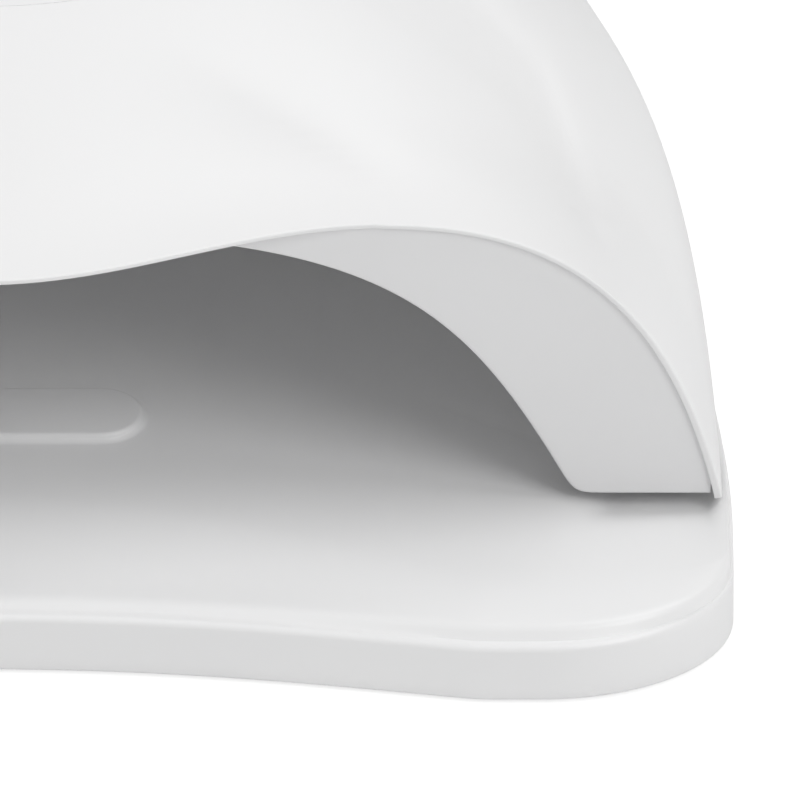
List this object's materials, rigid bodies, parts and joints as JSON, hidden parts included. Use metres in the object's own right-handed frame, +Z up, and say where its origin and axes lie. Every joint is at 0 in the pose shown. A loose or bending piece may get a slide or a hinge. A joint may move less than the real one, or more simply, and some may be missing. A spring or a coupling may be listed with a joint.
{
  "type": "led nail lamp",
  "caption": "Domed table lamp for curing nail gel: white housing with a visor over a wide hand opening, keys and display on top, on a loose stepped tray.",
  "frame": {"origin": "on the table, under the middle of the lamp's box", "axes": "+X to the right of someone who sits in front of the lamp, +Y to its back, +Z up"},
  "size_m": [0.225, 0.2, 0.0909],
  "materials": {
    "white_gloss": "smooth moulded white, satin to semi-gloss",
    "white_satin": "satin moulded white",
    "reflector_white": "smooth moulded white",
    "panel_white": "smooth moulded white, glossier than the shell",
    "key_silver": "silver painted",
    "rubber": "matte dark grey",
    "steel": "plain",
    "nickel": "nickel plated",
    "green_board": "solder mask",
    "white_board": "white solder mask",
    "black_plastic": "moulded black",
    "smoked_window": "smoked, polished"
  },
  "bodies": {
    "base_tray": {"base_tray": "white_gloss", "tray_cover": "white_satin", "tray_foot_front_left": "rubber", "tray_foot_front_right": "rubber", "tray_foot_back_left": "rubber", "tray_foot_back_right": "rubber", "tray_magnet_front_left": "nickel", "tray_magnet_front_right": "nickel", "tray_magnet_back_left": "nickel", "tray_magnet_back_right": "nickel", "tray_screw_front_left": "steel", "tray_screw_front_right": "steel", "tray_screw_back_left": "steel", "tray_screw_back_right": "steel"},
    "lamp_housing": {"upper_shell": "white_gloss", "front_bezel": "white_satin", "inner_reflector": "reflector_white", "housing_frame": "white_satin", "housing_magnet_front_left": "nickel", "housing_magnet_front_right": "nickel", "housing_magnet_back_left": "nickel", "housing_magnet_back_right": "nickel", "housing_screw_front_left": "steel", "housing_screw_front_right": "steel", "housing_screw_back_left": "steel", "housing_screw_back_right": "steel", "led_strip_lower": "white_board", "led_strip_upper": "white_board", "led_board_ceiling": "white_board", "hand_sensor": "black_plastic", "control_board": "green_board", "board_screw_1": "steel", "board_screw_2": "steel", "board_screw_3": "steel", "tact_switch_10": "black_plastic", "tact_switch_30": "black_plastic", "tact_switch_60": "black_plastic", "tact_switch_99": "black_plastic", "display_module": "black_plastic", "display_window": "smoked_window", "top_panel": "panel_white", "power_inlet": "black_plastic"},
    "key_10": {"key_10": "key_silver", "plunger_10": "black_plastic"},
    "key_30": {"key_30": "key_silver", "plunger_30": "black_plastic"},
    "key_60": {"key_60": "key_silver", "plunger_60": "black_plastic"},
    "key_99": {"key_99": "key_silver", "plunger_99": "black_plastic"}
  },
  "joints": [
    {"name": "housing_lift", "type": "slide", "parent": "base_tray", "child": "lamp_housing", "axis": [0, 0, 1], "range_m": [0, 0.08]},
    {"name": "key_10_press", "type": "slide", "parent": "lamp_housing", "child": "key_10", "axis": [0, 0.1392, -0.9903], "range_m": [0, 0.0006], "stiffness_N_per_m": 1500, "springref_m": -0.0003},
    {"name": "key_30_press", "type": "slide", "parent": "lamp_housing", "child": "key_30", "axis": [0, 0.1392, -0.9903], "range_m": [0, 0.0006], "stiffness_N_per_m": 1500, "springref_m": -0.0003},
    {"name": "key_60_press", "type": "slide", "parent": "lamp_housing", "child": "key_60", "axis": [0, 0.1392, -0.9903], "range_m": [0, 0.0006], "stiffness_N_per_m": 1500, "springref_m": -0.0003},
    {"name": "key_99_press", "type": "slide", "parent": "lamp_housing", "child": "key_99", "axis": [0, 0.1392, -0.9903], "range_m": [0, 0.0006], "stiffness_N_per_m": 1500, "springref_m": -0.0003}
  ]
}
